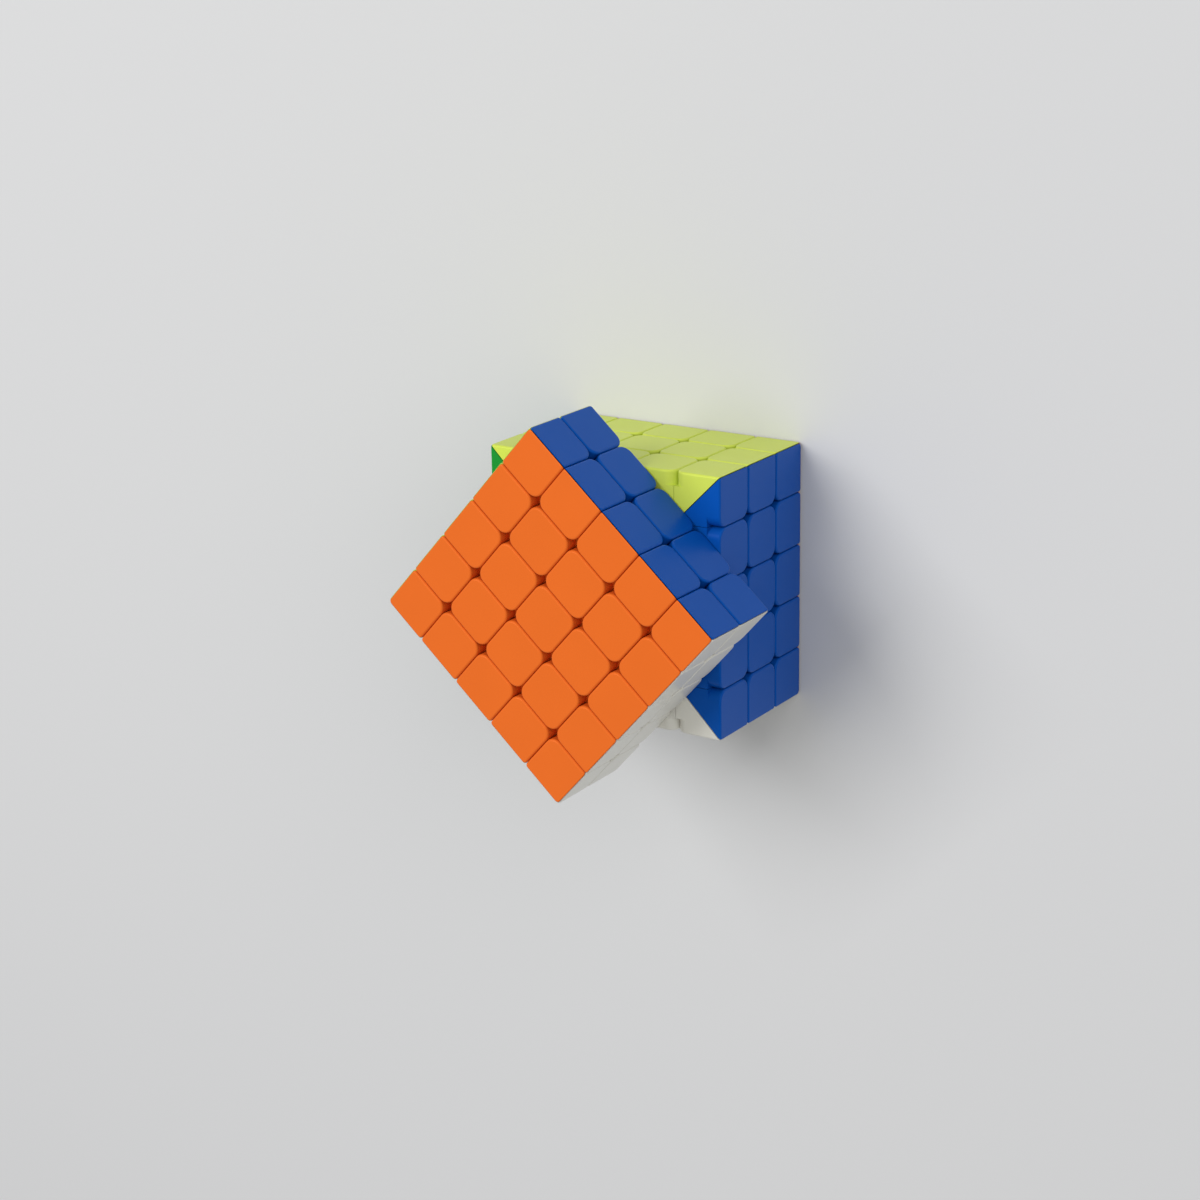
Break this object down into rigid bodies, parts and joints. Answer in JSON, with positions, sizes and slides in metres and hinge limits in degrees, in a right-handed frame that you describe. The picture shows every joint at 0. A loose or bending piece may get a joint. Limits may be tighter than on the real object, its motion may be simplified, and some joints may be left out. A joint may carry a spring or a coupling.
{
  "type": "twisty puzzle cube",
  "caption": "Stickerless twisty puzzle cube with its front layers turned, built as layers of coloured pieces held by feet around a sprung and screwed core.",
  "frame": {"origin": "centre of the cube, where the three axes of the core cross", "axes": "+Z is the axis the layers turn about, from the red back face that the cube lies on to the orange front face; +X points to the blue side and +Y to the yellow side of the layers that are not turned"},
  "size_m": [0.0872, 0.0872, 0.062],
  "materials": {
    "orange_plastic": "satin-gloss moulded plastic, coloured through",
    "blue_plastic": "satin-gloss moulded plastic, coloured through",
    "yellow_plastic": "satin-gloss moulded plastic, coloured through",
    "green_plastic": "satin-gloss moulded plastic, coloured through",
    "white_plastic": "satin-gloss moulded plastic, coloured through",
    "red_plastic": "satin-gloss moulded plastic, coloured through",
    "core_plastic": "matt black nylon",
    "screw_steel": "zinc-plated steel",
    "spring_steel": "bright spring steel"
  },
  "bodies": {
    "core_and_middle_layer": {"core": "core_plastic", "screw_front": "screw_steel", "screw_back": "screw_steel", "screw_blue": "screw_steel", "screw_yellow": "screw_steel", "screw_green": "screw_steel", "screw_white": "screw_steel", "spring_front": "spring_steel", "spring_back": "spring_steel", "spring_blue": "spring_steel", "spring_yellow": "spring_steel", "spring_green": "spring_steel", "spring_white": "spring_steel", "middle_centres_blue": "blue_plastic", "middle_centres_yellow": "yellow_plastic", "middle_centres_green": "green_plastic", "middle_centres_white": "white_plastic", "middle_edge_blue_yellow": "blue_plastic", "middle_edge_yellow_green": "yellow_plastic", "middle_edge_green_white": "green_plastic", "middle_edge_white_blue": "white_plastic"},
    "front_layer": {"front_corner_blue_yellow": "orange_plastic", "front_corner_yellow_green": "orange_plastic", "front_corner_green_white": "orange_plastic", "front_corner_white_blue": "orange_plastic", "front_edges_blue": "orange_plastic", "front_edges_yellow": "orange_plastic", "front_edges_green": "orange_plastic", "front_edges_white": "orange_plastic", "front_t_centre_blue": "orange_plastic", "front_t_centre_yellow": "orange_plastic", "front_t_centre_green": "orange_plastic", "front_t_centre_white": "orange_plastic", "front_x_centre_blue_yellow": "orange_plastic", "front_x_centre_yellow_green": "orange_plastic", "front_x_centre_green_white": "orange_plastic", "front_x_centre_white_blue": "orange_plastic", "front_fixed_centre": "orange_plastic", "front_centre_cap": "orange_plastic"},
    "second_layer": {"second_wing_blue_yellow": "blue_plastic", "second_wing_yellow_green": "yellow_plastic", "second_wing_green_white": "green_plastic", "second_wing_white_blue": "white_plastic", "second_centres_blue": "blue_plastic", "second_centres_yellow": "yellow_plastic", "second_centres_green": "green_plastic", "second_centres_white": "white_plastic"},
    "fourth_layer": {"fourth_wing_blue_yellow": "blue_plastic", "fourth_wing_yellow_green": "yellow_plastic", "fourth_wing_green_white": "green_plastic", "fourth_wing_white_blue": "white_plastic", "fourth_centres_blue": "blue_plastic", "fourth_centres_yellow": "yellow_plastic", "fourth_centres_green": "green_plastic", "fourth_centres_white": "white_plastic"},
    "back_layer": {"back_corner_blue_yellow": "red_plastic", "back_corner_yellow_green": "red_plastic", "back_corner_green_white": "red_plastic", "back_corner_white_blue": "red_plastic", "back_centres_and_edges": "red_plastic"}
  },
  "joints": [
    {"name": "front_turn", "type": "hinge", "parent": "core_and_middle_layer", "child": "front_layer", "pos_m": [0, 0, 0], "axis": [0, 0, 1], "continuous": true},
    {"name": "second_turn", "type": "hinge", "parent": "core_and_middle_layer", "child": "second_layer", "pos_m": [0, 0, 0], "axis": [0, 0, 1], "continuous": true},
    {"name": "fourth_turn", "type": "hinge", "parent": "core_and_middle_layer", "child": "fourth_layer", "pos_m": [0, 0, 0], "axis": [0, 0, 1], "continuous": true},
    {"name": "back_turn", "type": "hinge", "parent": "core_and_middle_layer", "child": "back_layer", "pos_m": [0, 0, 0], "axis": [0, 0, 1], "continuous": true}
  ]
}
